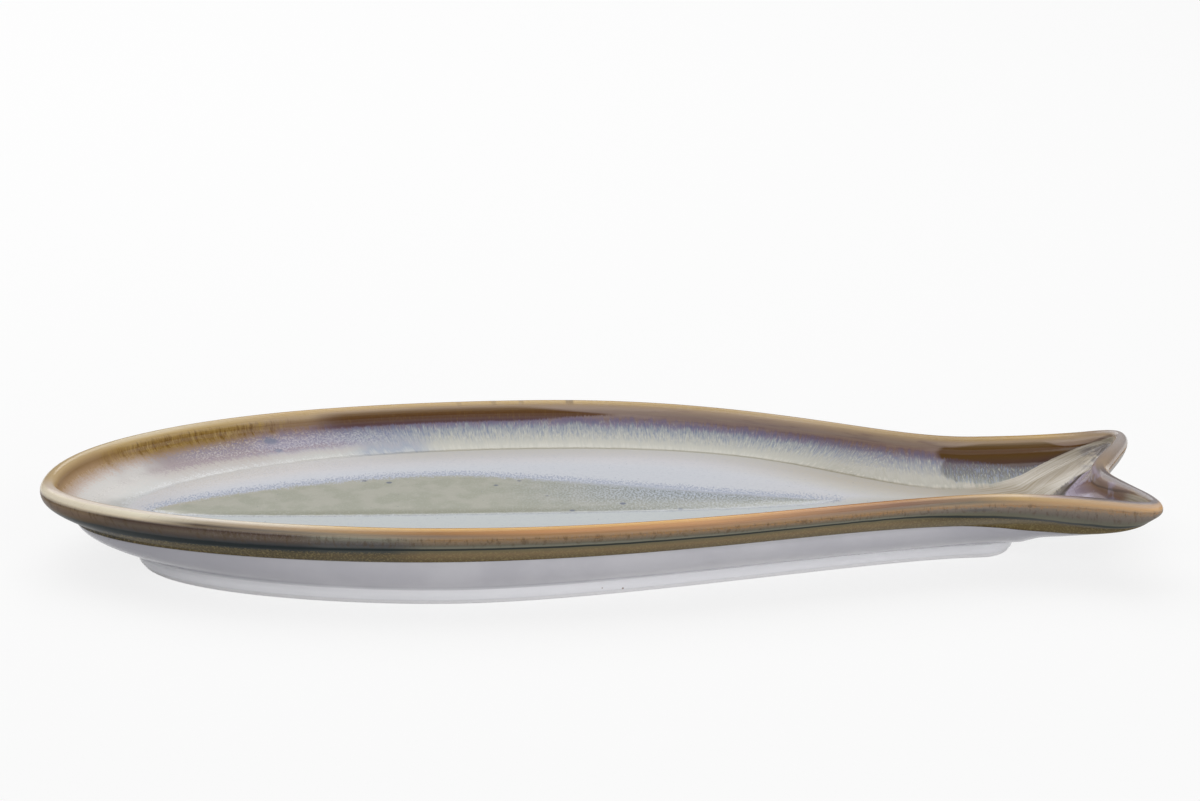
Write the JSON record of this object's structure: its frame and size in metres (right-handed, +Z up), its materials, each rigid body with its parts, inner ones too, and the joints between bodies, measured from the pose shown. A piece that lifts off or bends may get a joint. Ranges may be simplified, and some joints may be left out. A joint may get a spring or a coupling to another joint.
{
  "type": "fish shaped platter",
  "caption": "Long fish shaped stoneware platter with a rounded lip, a shallow glazed well, a forked tail and a raised foot ring, for serving and presenting food.",
  "frame": {"origin": "bottom centre of the bounding box: on the table, in the middle of the length and the width", "axes": "+X from the nose to the tail, +Y towards the back of the fish, +Z up from the table to the lip"},
  "size_m": [0.352, 0.125, 0.028],
  "materials": {
    "clay_body": "matt fired stoneware, hidden under the glaze coats",
    "foot_ring": "matt bare stoneware on the sole, glazed above it",
    "inside_glaze": "gloss reactive glaze, tan lip over brown, lilac and cream streaks",
    "rim_band_glaze": "gloss olive brown band with a dark line",
    "underside_glaze": "gloss white glaze",
    "foot_glaze": "gloss white glaze",
    "base_glaze": "gloss white glaze",
    "well_pool": "gloss sage green pooled glaze with dark specks"
  },
  "bodies": {
    "root": {"clay_body": "clay_body", "foot_ring": "foot_ring", "inside_glaze": "inside_glaze", "rim_band_glaze": "rim_band_glaze", "underside_glaze": "underside_glaze", "foot_glaze": "foot_glaze", "base_glaze": "base_glaze", "well_pool": "well_pool"}
  },
  "joints": []
}
